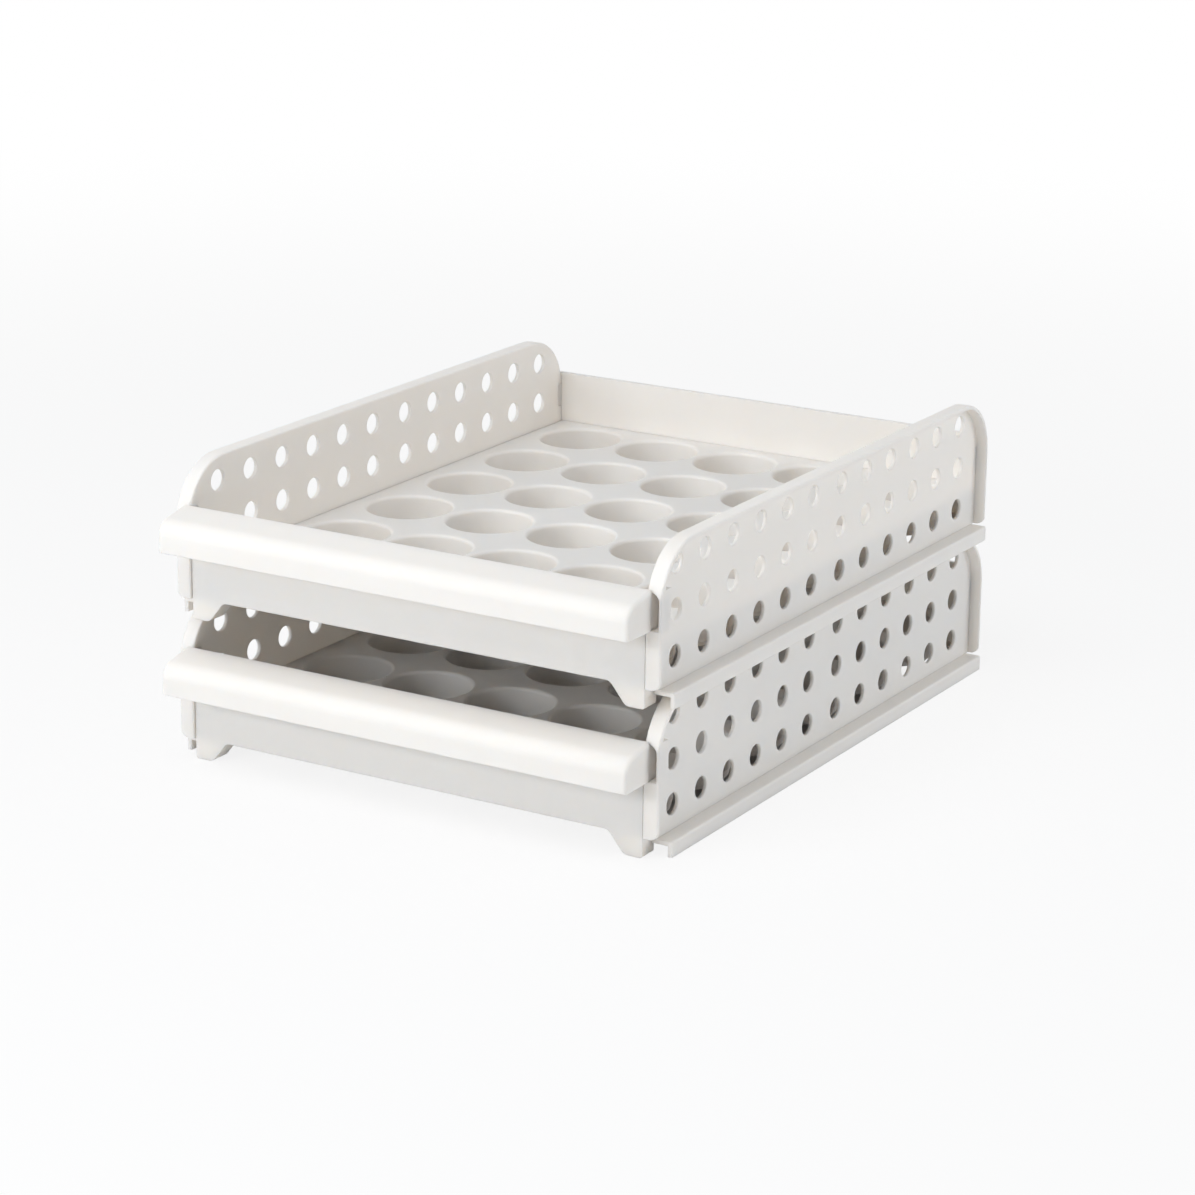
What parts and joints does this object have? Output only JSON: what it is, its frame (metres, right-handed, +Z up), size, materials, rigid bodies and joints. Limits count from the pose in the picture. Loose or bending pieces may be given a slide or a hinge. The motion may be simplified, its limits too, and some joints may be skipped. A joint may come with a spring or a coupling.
{
  "type": "egg storage box",
  "caption": "Stacked two-tier egg keeper: open drawers with perforated rimmed sides, a deck of round egg cups, a low back, feet and a rounded pull bar; the top drawer slides on the lower one's rims.",
  "frame": {"origin": "on the floor, at the middle of the box's outline seen from above", "axes": "+X to the right and +Y to the back, seen from the pull bars; +Z up"},
  "size_m": [0.26, 0.3446, 0.14],
  "materials": {
    "tray_plastic": "off-white polypropylene, fine matt texture",
    "panel_plastic": "off-white polypropylene, fine matt texture",
    "wall_plastic": "off-white polypropylene, fine matt texture",
    "bar_plastic": "off-white polypropylene, satin"
  },
  "bodies": {
    "lower_tier": {"lower_egg_tray": "tray_plastic", "lower_left_side_panel": "panel_plastic", "lower_right_side_panel": "panel_plastic", "lower_front_panel": "wall_plastic", "lower_back_panel": "wall_plastic", "lower_pull_bar": "bar_plastic"},
    "upper_tier": {"upper_egg_tray": "tray_plastic", "upper_left_side_panel": "panel_plastic", "upper_right_side_panel": "panel_plastic", "upper_front_panel": "wall_plastic", "upper_back_panel": "wall_plastic", "upper_pull_bar": "bar_plastic"}
  },
  "joints": [
    {"name": "upper_tier_slide", "type": "slide", "parent": "lower_tier", "child": "upper_tier", "axis": [0, -1, 0], "range_m": [-0.12, 0.12]}
  ]
}
